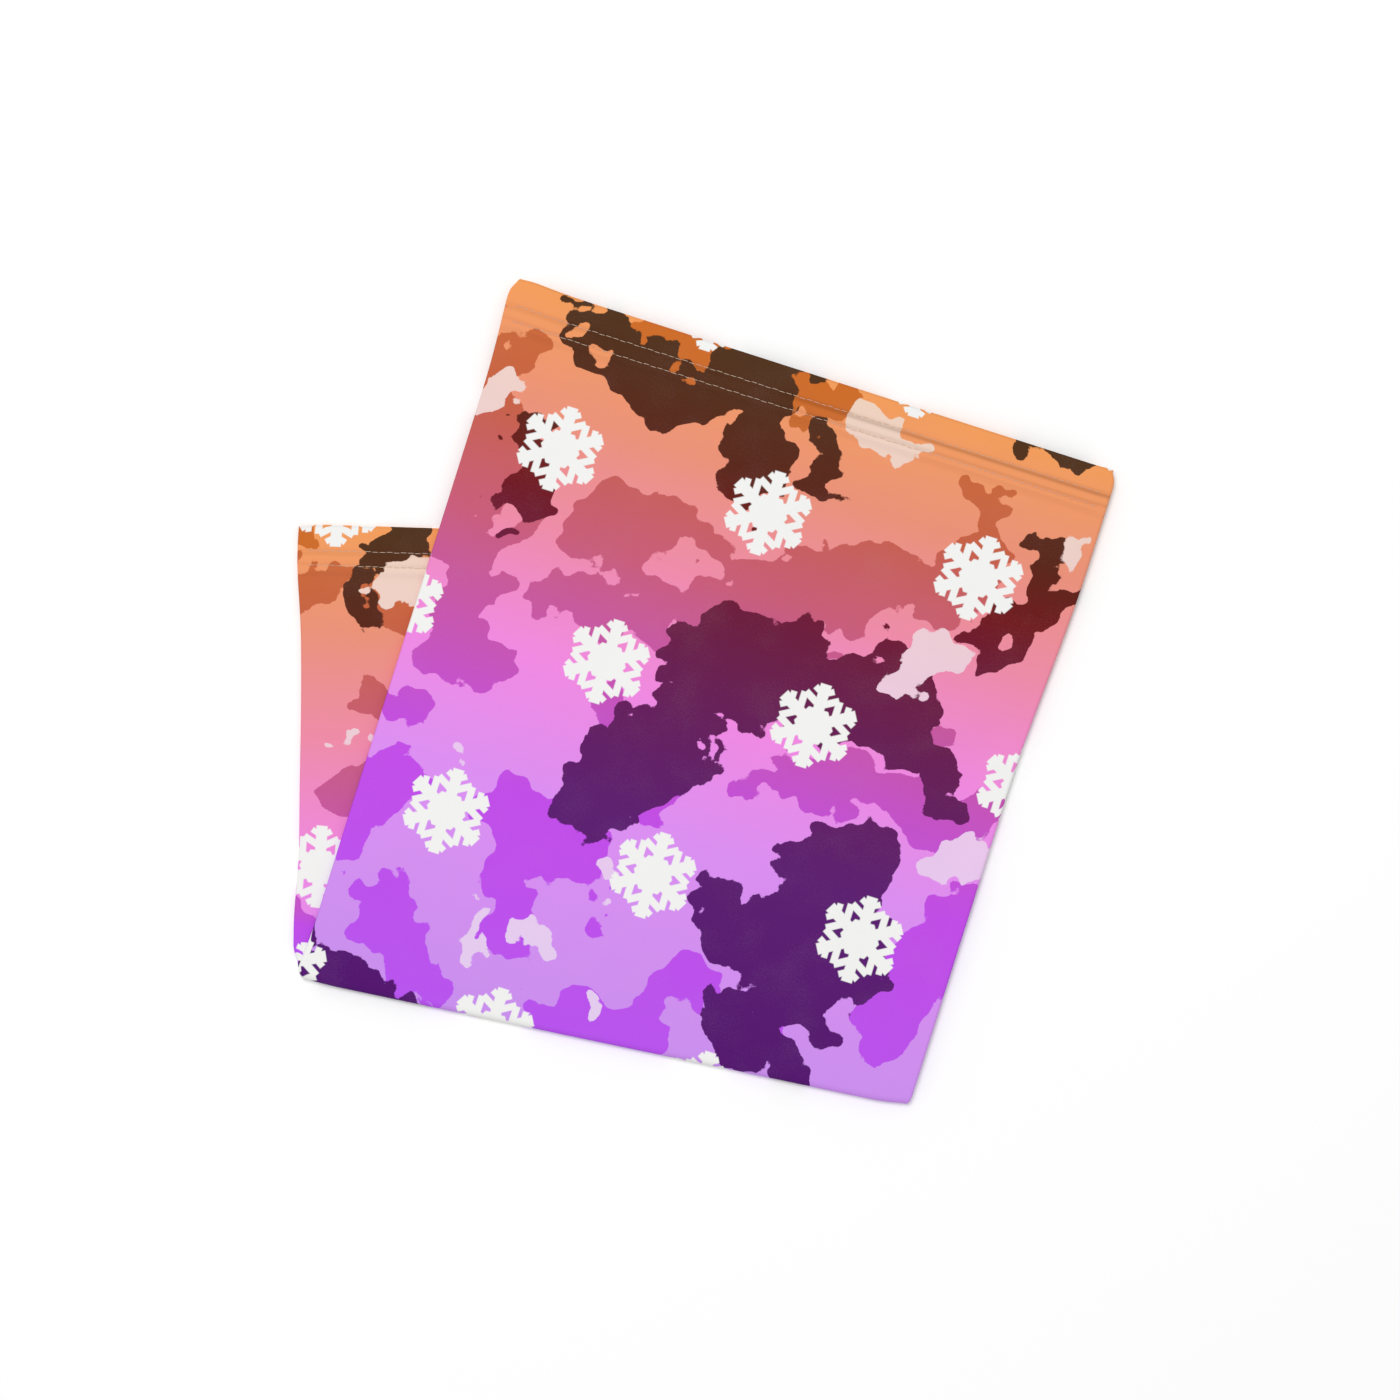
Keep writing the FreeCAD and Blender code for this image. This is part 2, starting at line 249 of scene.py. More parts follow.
# %% Brush strokes on the front
DARK = [
    (16, (35, 8), (70, 20), (110, 5)),
    (13, (110, 30), (115, 45)),
    (7, (25, 55), (30, 75), (20, 90)),
    (5, (138, 25), (138, 45)),
    (6, (225, 40), (235, 60), (215, 85)),
    (20, (115, 120), (160, 115), (190, 118)),
    (16, (115, 150), (90, 185)),
    (8, (200, 125), (225, 140)),
    (4, (105, 186)),
    (22, (190, 185), (185, 225)),
    (16, (155, 215), (205, 215)),
    (10, (165, 250), (200, 265)),
    (14, (0, 280), (40, 290)),
    (4, (210, -2), (230, -3)),
]
MIDDLE = [
    (9, (0, 27), (12, 28)),
    (14, (10, 60), (5, 100)),
    (11, (25, 75), (20, 140), (30, 150)),
    (17, (65, 80), (110, 90), (150, 82)),
    (15, (150, 75), (200, 65)),
    (8, (200, 25), (205, 45)),
    (10, (50, 112), (90, 110)),
    (8, (0, 170), (8, 172)),
    (12, (0, 220), (15, 200)),
    (14, (60, 200), (90, 208)),
    (11, (65, 215), (75, 245)),
    (11, (20, 245), (45, 268)),
    (6, (108, 228)),
    (13, (100, 275), (125, 270), (145, 245)),
    (10, (150, 160), (185, 150), (235, 150)),
    (6, (215, 122)),
    (7, (110, 180), (85, 150)),
    (13, (240, 190), (230, 215), (225, 240)),
    (7, (185, 250)),
    (8, (55, 285), (65, 290)),
]
BRIGHT = [(7, (65, 0), (75, 6)), (7, (122, 5), (132, 18), (140, 2))]
PALE = [
    (10, (0, 50), (8, 42)),
    (6, (150, 8), (162, 16)),
    (6, (235, 40)),
    (8, (200, 88), (190, 105)),
    (10, (225, 168), (245, 165)),
    (4, (62, 248)),
    (6, (82, 240), (92, 245)),
    (4, (105, 213)),
    (5, (113, 265)),
    (3, (34, 180)),
]
LIGHT_GAPS = [
    (3, (42, 14)),
    (5, (28, 13)),
    (3, (27, -2)),
    (4, (13, 95)),
    (6, (88, 90), (104, 84)),
    (4, (130, 32)),
    (5, (142, 152), (152, 154)),
    (5, (150, 258)),
    (4, (205, 100)),
    (3, (127, 150)),
]
print(sum(map(len, (DARK, MIDDLE, BRIGHT, PALE, LIGHT_GAPS))), "strokes on the front")

# %% [markdown]
# The strip of the lower leaf that stays in view belongs to the back of the tube, near the lower hem. It has
# strokes of its own, measured from the same side edge and from the lower hem.

# %% Brush strokes on the strip that stays in view
STRIP = {
    "dark": [(11, (50, 0), (32, 10)), (6, (26, 26), (30, 40)), (4, (30, 80)), (6, (48, 40)), (6, (-3, 172))],
    "middle": [
        (7, (0, 24), (15, 26)),
        (6, (30, 30), (40, 42)),
        (9, (30, 72)),
        (11, (20, 108), (34, 105)),
        (10, (0, 162), (6, 170)),
    ],
    "bright": [(6, (0, 0), (2, 8))],
    "pale": [(7, (45, 15), (40, 28)), (3, (14, 90))],
}
print(sum(map(len, STRIP.values())), "strokes on the strip")

# %% [markdown]
# A field holds, for each tone, the distance to the nearest stroke's edge on a grid of one point per
# millimetre: negative inside a patch, positive outside. Distances are kept, not colours, because a distance
# stays exact between points while a painted colour would blur. The grid is bent by waves of three sizes
# before it is measured: long ones move whole patches, middle ones give them lobes, and short ones fray
# their edges.


# %% Distance to a stroke
def stroke_distance(u, v, radius, *places):
    """Signed distance to a brush stroke, a line of dye with round ends."""
    nearest = np.full(u.shape, 1e9)
    for (ax, ay), (bx, by) in zip(places, places[1:] or places):
        dx, dy = bx - ax, by - ay
        t = np.clip(((u - ax) * dx + (v - ay) * dy) / (dx * dx + dy * dy + 1e-12), 0, 1)
        nearest = np.minimum(nearest, np.hypot(u - ax - t * dx, v - ay - t * dy))
    return nearest - radius


BEND_SIZES = ((3.5, 21, 50), (3.5, 23, 24), (1.8, 25, 9))  # height, seed and spacing of the waves
BENDS = [(height, waves(seed, size), waves(seed + 1, size)) for height, seed, size in BEND_SIZES]
print("middle of a stroke", stroke_distance(np.zeros(1), np.zeros(1), 5, (-9, 0), (9, 0)))


# %% Fields of every tone
REACH = 10.0  # distances are only kept this near to an edge


class Field:
    """Distances to the patches of every tone over one stretch of cloth."""

    def __init__(self, u_range, v_range):
        self.u0, self.v0 = u_range[0], v_range[0]
        self.u, self.v = np.meshgrid(np.arange(*u_range, 1.0), np.arange(*v_range, 1.0))
        self.bent_u = self.u + sum(height * across(self.u, self.v) for height, across, _ in BENDS)
        self.bent_v = self.v + sum(height * down(self.u, self.v) for height, _, down in BENDS)
        self.tones = {}

    def add(self, tone, strokes, gaps=()):
        field = np.full(self.u.shape, REACH)
        for stroke in strokes:
            field = np.minimum(field, stroke_distance(self.bent_u, self.bent_v, *stroke))
        for gap in gaps:
            field = np.maximum(field, -stroke_distance(self.bent_u, self.bent_v, *gap))
        self.tones[tone] = np.clip(field, -REACH, REACH)

    def read(self, tone, u, v):
        """The distance at any points of the cloth, between the grid's own points."""
        field = self.tones[tone]
        x = np.clip(u - self.u0, 0, field.shape[1] - 1.001)
        y = np.clip(v - self.v0, 0, field.shape[0] - 1.001)
        i, j = np.floor(x).astype(int), np.floor(y).astype(int)
        a, b = x - i, y - j
        top = field[j, i] * (1 - a) + field[j, i + 1] * a
        return top * (1 - b) + (field[j + 1, i] * (1 - a) + field[j + 1, i + 1] * a) * b


front_field = Field((-20, 266), (-24, 306))
for tone, strokes in (("dark", DARK), ("middle", MIDDLE), ("bright", BRIGHT), ("pale", PALE)):
    front_field.add(tone, strokes, LIGHT_GAPS if tone in ("dark", "middle") else ())
strip_field = Field((-30, 90), (-24, 200))
for tone in ("dark", "middle", "bright", "pale"):
    strip_field.add(tone, STRIP[tone])
print("dark covers", round(100 * float((front_field.tones["dark"] < 0).mean())), "% of the front")

# %% [markdown]
# Where no stroke was placed, on the hidden plies, the front's patches are used again: mirrored at the
# sides, so they run on without a break round each crease, and turned end for end on the lower leaf.
# Neighbouring stretches are mixed by weight, because a mix of two distances is still a flowing edge. The
# colour fade and the crystals' repeat change as gradually beyond the fold.


# %% Tones anywhere on the tube
FADE_END = 285.0  # the fold, down from the upper hem, where the colour fade ends
PRINT_TURN = TUBE + 14  # twice the distance down to the line that the front's print is turned about
STRIP_SIDES = ((-72, -58), (6, 22))  # where the strip's own print comes in and goes out, round the tube
FADE_SIDES = ((-95, -58), (6, 60))  # the same for the strip's quicker fade
FOLD_START_DOWN, FOLD_END_DOWN = 283, 289  # between these the fade stands still
STRIP_LEAP, REST_STRETCH = 99, 0.54  # how the fade of the strip, and of the rest, reaches the fold's colour
SHIFT_START, SHIFT_RUN = 298.5, 14  # where the crystals' repeat shifts, and over what length
SHIFT_AROUND, SHIFT_DOWN, SHIFT_DRIFT = 45.7, 26, 0.05
HEM_PULL = 4.6  # how much lower the crystals sit at the upper hem


def strength(value, rise, fall):
    """A weight that rises from 0 to 1 and falls again."""
    return smooth((value - rise[0]) / (rise[1] - rise[0])) * smooth((fall[1] - value) / (fall[1] - fall[0]))


def tone_distances(around, down):
    """Distance to each tone's patches, for points given by their place on the tube."""
    mirrored = np.abs((around + AROUND / 2) % AROUND - AROUND / 2)
    lower = smooth((down - 290) / 30)
    in_strip = strength(around, *STRIP_SIDES) * smooth((down - 286) / 10)
    found = {}
    for tone in ("dark", "middle", "bright", "pale"):
        value = front_field.read(tone, mirrored, down)
        turned = front_field.read(tone, AROUND / 2 - mirrored, PRINT_TURN - down)
        value = value * (1 - lower) + turned * lower
        found[tone] = value * (1 - in_strip) + strip_field.read(tone, -around, TUBE - down) * in_strip
    return found


def fade_place(around, down):
    """Where on the colour fade a point is: its distance from the nearer hem, run together at the fold."""
    below = TUBE - down
    strip = below + STRIP_LEAP * smooth((315 - down) / 30)
    rest = below * (1 + REST_STRETCH * smooth(below / 90))
    side = strength(around, *FADE_SIDES)
    lower = strip * side + rest * (1 - side)
    past_fold = np.where(down > FOLD_END_DOWN, np.abs(lower), FADE_END)
    return np.where(down < FOLD_START_DOWN, np.abs(down), past_fold)


def crystal_place(around, down):
    """Places for the repeat of snow crystals, which shifts between two rows of them beyond the fold."""
    beyond = np.clip((down - SHIFT_START) / SHIFT_RUN, 0, 1)
    shift = SHIFT_AROUND + SHIFT_DRIFT * np.clip(down - 330, 0, None)
    return around + shift * beyond, down + SHIFT_DOWN * beyond - HEM_PULL * smooth((25 - down) / 25)


print("fade at the hems and the fold", fade_place(np.zeros(4), np.array([0.0, 200.0, 286.0, 471.0])))

# %% [markdown]
# ## Writing a finish as sums
#
# A material is a graph of small nodes. Written out node by node it is long and hard to read, so one small
# class wraps a socket and lets Python's own signs add the Math nodes: `abs(x)` makes an Absolute node. Every
# other node comes from one method that takes its type, its settings and what goes into its sockets.


# %% Sockets that can be added and multiplied
class Value:
    """A socket of a finish that works in sums like a number."""

    def __init__(self, finish, socket):
        self.finish, self.socket = finish, socket

    def math(self, operation, *values):
        return self.finish.node("ShaderNodeMath", {"operation": operation}, dict(enumerate((self, *values))))

    def __add__(self, other):
        return self.math("ADD", other)

    def __sub__(self, other):
        return self.math("SUBTRACT", other)

    def __mul__(self, other):
        return self.math("MULTIPLY", other)

    def __truediv__(self, other):
        return self.math("DIVIDE", other)

    def __rsub__(self, other):
        return (self * -1).math("ADD", other)

    def __abs__(self):
        return self.math("ABSOLUTE")

    def __mod__(self, other):
        return self.math("FLOORED_MODULO", other)

    def minimum(self, other):
        return self.math("MINIMUM", other)

    def maximum(self, other):
        return self.math("MAXIMUM", other)

    def clamped(self):
        return self.finish.node("ShaderNodeClamp", {}, {"Value": self})

    __radd__, __rmul__ = __add__, __mul__


class Finish:
    """A material that is being put together."""

    def __init__(self, name):
        self.material = bpy.data.materials.new(name)
        self.material.use_nodes = True
        self.tree = self.material.node_tree
        self.shader = self.tree.nodes["Principled BSDF"]

    def feed(self, socket, value):
        if isinstance(value, Value):
            self.tree.links.new(value.socket, socket)
        else:
            socket.default_value = value

    def node(self, kind, settings, sockets, output=0):
        """A node of that kind: settings first, then its sockets, and one of its outputs back."""
        made = self.tree.nodes.new(kind)
        for name, setting in settings.items():
            if name == "stops":
                elements = made.color_ramp.elements
                while len(elements) < len(setting):
                    elements.new(0.5)
                for element, (position, colour) in zip(elements, setting):
                    element.position, element.color = position, colour
            else:
                setattr(made, name, setting)
        for name, value in sockets.items():
            self.feed(made.inputs[name], value)
        return Value(self, made.outputs[output])

    def attribute(self, name, output="Fac"):
        return self.node("ShaderNodeAttribute", {"attribute_name": name}, {}, output)

    def parts(self, vector):
        """The x and y of a vector, as values."""
        return [self.node("ShaderNodeSeparateXYZ", {}, {"Vector": vector}, axis) for axis in ("X", "Y")]

    def mix(self, factor, below, above):
        """Colour above over colour below, by the factor."""
        sockets = {0: factor, 6: below, 7: above}
        return self.node("ShaderNodeMix", {"data_type": "RGBA"}, sockets, 2)

    def noise(self, place, scale, detail=2.0):
        return self.node("ShaderNodeTexNoise", {}, {"Vector": place, "Scale": scale, "Detail": detail})

    def surface(self, **sockets):
        """Sets or links the shader's own sockets, written with _ for a space."""
        for name, value in sockets.items():
            self.feed(self.shader.inputs[name.replace("_", " ")], value)
        return self.material


def colour(code):
    """A colour of six hex digits as the linear values that a shader wants."""
    channels = [int(code[i : i + 2], 16) / 255 for i in (0, 2, 4)]
    return tuple(c / 12.92 if c <= 0.04045 else ((c + 0.055) / 1.055) ** 2.4 for c in channels) + (1.0,)


print("orange in linear light", [round(c, 3) for c in colour("EE9C60")])

# %% [markdown]
# ## The snow crystal
#
# A plain white crystal repeats over the cloth in staggered rows. Folding space does the work: the place on the
# cloth is first wrapped into one cell of the repeat, then its angle into one twelfth of a turn. What is left
# to draw is half an arm, two side branches and the middle, and all six arms come out alike.

# %% Crystal repeat
REPEAT_ACROSS, REPEAT_DOWN = 84.7, 74.6
FIRST_CRYSTAL = (36.7, 57.5)
ARM, ARM_WIDTH, CORE = 17.0, 2.2, 6.8
BRANCHES = ((8.2, 7.8, 1.4), (12.9, 4.4, 1.2))  # foot, length and half width of the side branches


def crystal_mask(finish):
    across, down = finish.parts(finish.attribute("crystal_place", "Vector"))
    row = ((down - FIRST_CRYSTAL[1]) / REPEAT_DOWN).math("ROUND")
    y = down - FIRST_CRYSTAL[1] - row * REPEAT_DOWN
    shifted = across - FIRST_CRYSTAL[0] + REPEAT_ACROSS / 2 - (row % 2) * (REPEAT_ACROSS / 2)
    x = shifted % REPEAT_ACROSS - REPEAT_ACROSS / 2
    radius = (x * x + y * y).math("SQRT")
    sixth = math.pi / 3
    angle = abs((x.math("ARCTAN2", y) + sixth / 2) % sixth - sixth / 2)
    out, aside = radius * angle.math("COSINE"), radius * angle.math("SINE")
    distance = (aside - ARM_WIDTH).maximum(out - ARM).minimum(out - CORE)
    for foot, length, width in BRANCHES:
        run = (out - foot) * math.cos(sixth) + aside * math.sin(sixth)
        off = abs(aside * math.cos(sixth) - (out - foot) * math.sin(sixth))
        distance = distance.minimum((off - width).maximum(run - length).maximum(run * -1))
    return (0.5 - distance * 2.6).clamped()


print("crystals", 2 * ARM, "mm across, rows", REPEAT_DOWN, "mm apart")

# %% [markdown]
# ## Printed knit
#
# The jersey is fine polyester: matt, with the faint ribs of its wales. A tone fades from orange at the hems
# through pink to purple at the fold, so each has its own colour ramp along the fade. A tone's patch shows
# where its distance is negative, with a fine wobble added. The knit itself is in the bump and roughness.

# %% Colours of the dye, by their distance from the hem
LIGHT_DYE = {0: "F09C5A", 45: "E89078", 90: "EC8AA8", 140: "EE88E0", 190: "DA8EF0", 285: "C68EEC"}
MIDDLE_DYE = {0: "CA6C34", 45: "C46044", 90: "C65C78", 140: "C454B4", 190: "C04CE6", 285: "B654EE"}
DARK_DYE = {0: "50341E", 45: "5A261A", 70: "70181C", 110: "6A1E46", 190: "5C1E70", 285: "52146E"}
PALE_DYE = {0: "ECD0BA", 100: "EACAD8", 165: "E8C6EC", 285: "E2CCEE"}
BRIGHT_DYE = {0: "CC6C28", 30: "C46A34"}
RIB, COURSE = 0.55, 0.42  # spacing of the knit's ribs and of its crosswise rows


def dye(finish, stops):
    stops = [(place / FADE_END, colour(code)) for place, code in stops.items()]
    fade = finish.attribute("fade") / FADE_END
    return finish.node("ShaderNodeValToRGB", {"stops": stops}, {"Fac": fade})


def knit_bump(finish, strength):
    """Fine vertical ribs with a looser crosswise beat, as bump, and the same height for the roughness."""
    across, down = finish.parts(finish.attribute("cloth_place", "Vector"))
    rib = abs((across * (math.pi / RIB)).math("SINE"))
    course = (down * (2 * math.pi / COURSE) + rib * 2.2).math("SINE")
    height = rib * 0.7 + course * 0.3
    bump = {"Strength": strength, "Distance": 0.00008, "Height": height}
    return finish.node("ShaderNodeBump", {}, bump, "Normal"), height


# %% The two faces of the jersey
TONES = (  # from the bottom of the stack up, with how crisp their edges are
    ("middle", MIDDLE_DYE, 2.2),
    ("dark", DARK_DYE, 2.4),
    ("bright", BRIGHT_DYE, 2.4),
    ("pale", PALE_DYE, 2.2),
)
WOBBLE = 5.6  # how far fine noise bends the edges of the patches
# how far the painted shade at the hem darkens the cloth
PAINTED_HEM_SHADE_STRENGTH = 0.38


def printed_knit():
    finish = Finish("printed_knit")
    place = finish.attribute("cloth_place", "Vector")
    wobble = (finish.noise(place, 0.22, 3.0) - 0.5) * WOBBLE
    shade = dye(finish, LIGHT_DYE)
    for tone, stops, crispness in TONES:
        distance = finish.attribute(f"{tone}_distance") + wobble
        shade = finish.mix((0.5 - distance * crispness).clamped(), shade, dye(finish, stops))
    shade = finish.mix(crystal_mask(finish), shade, colour("F0F0EE"))
    # painted shade: the colour is darkened towards brown in the stitch grooves, at the mouth's edge and where
    # the band ends
    shade = finish.mix((finish.attribute("hem_shade") * PAINTED_HEM_SHADE_STRENGTH).clamped(), shade, colour("4A220F"))
    mottle = finish.noise(place, 0.05, 4.0)
    grain = finish.noise(place, 1.6, 1.0)
    wear = ((mottle - 0.5) * 0.12 + (grain - 0.5) * 0.1).clamped()
    shade = finish.mix(wear, shade, colour("B9A6AC"))
    normal, height = knit_bump(finish, 0.35)
    rough = 0.84 - height * 0.08 + (mottle - 0.5) * 0.1
    return finish.surface(Base_Color=shade, Roughness=rough, Normal=normal, Specular_IOR_Level=0.05)


def knit_inside():
    finish = Finish("knit_inside")
    normal, height = knit_bump(finish, 0.5)
    shade = finish.mix((height * 0.4).clamped(), colour("F1F0EE"), colour("D9D7D6"))
    rough = 0.9 - height * 0.1
    return finish.surface(Base_Color=shade, Roughness=rough, Normal=normal, Specular_IOR_Level=0.2)


PRINTED_KNIT, KNIT_INSIDE = printed_knit(), knit_inside()
print(len(PRINTED_KNIT.node_tree.nodes), "nodes in the printed knit")

# %% [markdown]
# ## Cloth pieces
#
# Each piece is a grid of points on the printed face. A Solidify modifier gives it the jersey's thickness on
# the unprinted side and puts the plain inner finish there. It stays a modifier, so cloth keeps its thickness
# when it bends. The piece's outer edges are marked sharp, or its smooth shading would darken where it meets
# its neighbour. Distances, fade and places ride along as attributes of the points.


# %% Meshes and their attributes
def store(mesh, name, values, vector=False):
    attribute = mesh.attributes.new(name, "FLOAT_VECTOR" if vector else "FLOAT", "POINT")
    attribute.data.foreach_set("vector" if vector else "value", np.asarray(values, np.float32).ravel())


def grid_faces(row_count, column_count, flip):
    corners = np.arange(row_count * column_count).reshape(row_count, column_count)
    quads = [corners[:-1, :-1], corners[:-1, 1:], corners[1:, 1:], corners[1:, :-1]]
    faces = np.stack([q.ravel() for q in quads], 1)
    return (faces[:, ::-1] if flip else faces).tolist()


def mesh_object(name, points, faces, materials):
    mesh = bpy.data.meshes.new(name)
    mesh.from_pydata(points.reshape(-1, 3).tolist(), [], faces)
    mesh.polygons.foreach_set("use_smooth", [True] * len(mesh.polygons))
    piece = bpy.data.objects.new(name, mesh)
    bpy.context.scene.collection.objects.link(piece)
    for material in materials:
        mesh.materials.append(material)
    return piece


# %% Make one piece of cloth
THICKNESS = 0.45  # of the jersey


def cloth(name, flip, points, around, down, shade=0.0):
    """A piece of printed jersey from grids of points, of their places on the tube and of the hem's painted
    shade.
    """
    shape = points.shape[:2]
    piece = mesh_object(name, points, grid_faces(*shape, flip), [PRINTED_KNIT, KNIT_INSIDE])
    mesh = piece.data
    for tone, distance in tone_distances(around, down).items():
        store(mesh, f"{tone}_distance", distance)
    store(mesh, "fade", fade_place(around, down))
    # painted shade of the hem, for each point
    store(mesh, "hem_shade", shade + 0 * around)
    crystal = crystal_place(around, down)
    flat = np.zeros(shape)
    store(mesh, "crystal_place", np.stack([*crystal, flat], -1), vector=True)
    store(mesh, "cloth_place", np.stack([around, down, flat], -1), vector=True)
    index = np.arange(shape[0] * shape[1]).reshape(shape)
    border = np.zeros(index.size, bool)
    border[np.concatenate([index[0], index[-1], index[:, 0], index[:, -1]])] = True
    ends = np.zeros(len(mesh.edges) * 2, int)
    mesh.edges.foreach_get("vertices", ends)
    ends = ends.reshape(-1, 2)
    sharp = mesh.attributes.new("sharp_edge", "BOOLEAN", "EDGE")
    sharp.data.foreach_set("value", border[ends].all(1))
    thick = piece.modifiers.new("Thickness", "SOLIDIFY")
    thick.thickness, thick.offset = THICKNESS * MM, -1
    thick.material_offset, thick.material_offset_rim = 1, 0
    return piece


print("jersey", THICKNESS, "mm thick")

# %% [markdown]
# ## The plies
#
# A ply that opens at the mouth would lift in its middle but stay joined at its sides; here it is made in a
# left and a right half that stay where they are made. The pressed ply under it carries both side creases and
# rides on its own body whole.

# %% Relief and grid of a ply
LONG_WAVE, SMALL_WAVE = 0.45, 0.1
HEM_FADE = 7.0  # from the side, where the hem's relief begins


def wave_rise(around, down, side, lift):
    """How far the waves lift the cloth. They die out at the sides."""
    long = LONG_WAVE * ply_waves(around, down) * smooth(side / 14)
    return lift * (long + SMALL_WAVE * small_waves(around, down) * smooth(side / 8))


def ply_rise(leaf, q, from_mouth, around, down, lift):
    """How far a ply stands up at a point, over its hem and in its waves."""
    side = np.minimum(q, 1 - q) * PLY_WIDTH + 0 * from_mouth
    rise = hem_relief(from_mouth, around, lift * smooth(side / HEM_FADE))
    rise = rise + wave_rise(around, down, side, lift)
    return rise * smooth((leaf.length(q) - leaf.start - from_mouth) / 10)


def leaf_grid(leaf, across, roll, top, lift=0.0):
    """Points and places for the columns given by across and roll, from the turned-in band to the fold."""
    q, roll = np.array(across)[None, :], np.array(roll, float)[None, :]
    body_rows = int((leaf.right + leaf.left) / 2 / STEP) - int(ROWS_END / STEP)
    share = np.linspace(0, 1, body_rows)[1:, None]
    end = leaf.length(q) - leaf.start
    from_mouth = np.concatenate([ROWS[:, :1] + 0 * q, ROWS_END + (end - ROWS_END) * share])
    depth = np.concatenate([ROWS[:, 1:2], np.zeros((body_rows - 1, 1))]) + 0 * q
    place = np.concatenate([ROWS[:, 2:3] + 0 * q, ROWS_END + (end - ROWS_END) * share])
    around, down = leaf.cloth_place(q, roll, place)
    around, down = around + 0 * from_mouth, down + 0 * from_mouth
    on_face = depth < 0.01
    rise = ply_rise(leaf, q, from_mouth, around, down, lift)
    if leaf.front_up != top:
        rise = rise - 0.2 * np.exp(-(((q - 0.5) * PLY_WIDTH / 0.7) ** 2))
    # painted shade at the hem, on the printed face only
    shade = np.where(on_face, hem_shade(from_mouth, around), 0.0)
    return leaf.point(q, roll, from_mouth, depth, np.where(on_face, rise, 0.0)), around, down, shade


def columns(start, stop):
    """Places across a ply, a step apart."""
    return np.linspace(start, stop, max(int(abs(stop - start) * PLY_WIDTH / STEP), 2))


def row_point(leaf, side, distance):
    """A point on the leaf, at a distance square in from its left or right side, in the row frame."""
    square = np.array([math.cos(leaf.lean), -math.sin(leaf.lean)])
    corner, inward = (0.0, 1) if side == "left" else (FOLD_LENGTH, -1)
    x, y = np.array([corner, 0.0]) + inward * distance * square
    return row_frame(np.array(x), np.array(y), np.array(leaf.middle)).tolist()


def blend_to_middle(piece, leaf, side):
    """Bakes a half ply's placement into its mesh; the two points that it works out on the leaf are not used.
    """
    reach = FOLD_LENGTH / 2 * math.cos(leaf.lean)
    row_point(leaf, side, ROLL)
    row_point(leaf, side, reach)
    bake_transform(piece)


# %% Build the plies
CREASE = np.linspace(0, math.pi, 9)
MIDDLE_LINE = 0.499999  # a hair to the left of the middle, so that the left half knows which side it is on
HALVES = {"left": (0.0, MIDDLE_LINE), "right": (0.5, 1.0)}
UPPER_LIFT, LOWER_LIFT = 1.0, 0.4  # how much relief the plies show: the lower one is pressed by the upper leaf
OPENING = (  # leaf, ply that lifts, body that its sides stay on, and its relief
    (UPPER, "upper_front", "upper_back", UPPER_LIFT),
    (LOWER, "lower_back", "lower_front", LOWER_LIFT),
)
pieces = {}
for side, (q0, q1) in HALVES.items():
    for leaf, ply, fixed, lift in OPENING:
        across = columns(q0, q1)
        piece = cloth(f"{ply}_{side}", True, *leaf_grid(leaf, across, across * 0, True, lift))
        pieces[piece.name] = piece
        panel = f"{ply}_panel" if ply == "upper_front" else f"{ply}_panel_{side}"
        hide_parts(panel, f"{ply}_hem_turn")
        blend_to_middle(piece, leaf, side)

for side in HALVES:
    flat = columns(0.0, MIDDLE_LINE)
    across = np.concatenate([0 * CREASE, flat[1:]])
    roll = np.concatenate([CREASE, np.full(len(flat) - 1, math.pi)])
    if side == "right":
        across, roll = 1 - across[::-1], roll[::-1]
    piece = cloth(f"upper_back_{side}", False, *leaf_grid(UPPER, across, roll, False))
    pieces[piece.name] = piece
    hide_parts(f"upper_back_panel_{side}", "upper_back_hem_turn", f"upper_{side}_crease")
    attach(piece, "upper_back")

flat = columns(0.0, 1.0)
across = np.concatenate([0 * CREASE, flat[1:-1], 0 * CREASE + 1])
roll = np.concatenate([CREASE, np.full(len(flat) - 2, math.pi), CREASE[::-1]])
piece = cloth("lower_front_and_sides", False, *leaf_grid(LOWER, across, roll, False))
pieces["lower_front"] = piece
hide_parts("lower_front_panel", "lower_front_hem_turn", "lower_left_crease", "lower_right_crease")
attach(piece, "lower_front")
print({name: len(piece.data.vertices) for name, piece in pieces.items()})

# %% [markdown]
# ## The fold
#
# At the fold the leaf's whole section swings half way round the fold's axis. The outer ply takes a wide turn
# and the inner ply a tight one. Both follow an arc round that axis and are made in that folded shape, fixed
# in place. They are two pieces, since the inner turn
# starts and ends much closer to the axis.


# %% Cloth round the fold
def fold_cloth(name, across, roll, turns, flip, low, high, *nodes):
    q, roll = np.array(across)[None, :], np.array(roll)[None, :]
    turn = np.linspace(0, math.pi, turns)[:, None]
    radius = AXIS_HEIGHT - ROLL - ROLL * np.cos(roll)
    sign = np.where(q < 0.5, -1.0, 1.0)
    x = FOLD_LENGTH * q + ROLL * (1 - 2 * q) + sign * ROLL * np.sin(roll) - (1 - q) ** 3 + 0 * turn
    rounded = np.exp(-((np.minimum(q, 1 - q) / 0.012) ** 2)) * LOWER.outside(roll)
    x = x - (1.6 - q) * sign * rounded * np.sin(turn)
    y = SETBACK - fold_bow(q) * LOWER.outside(roll) - radius * np.sin(turn)
    points = row_frame(x, y, AXIS_HEIGHT - radius * np.cos(turn))
    _, upper_end = UPPER.cloth_place(q, math.pi - roll, UPPER.length(q) - UPPER.start)
    around, lower_end = LOWER.cloth_place(q, roll, LOWER.length(q) - LOWER.start)
    down = upper_end + (lower_end - upper_end) * (1 - turn / math.pi)
    piece = cloth(name, flip, points, around + 0 * turn, down)
    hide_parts(*nodes)
    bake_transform(piece)
    return piece


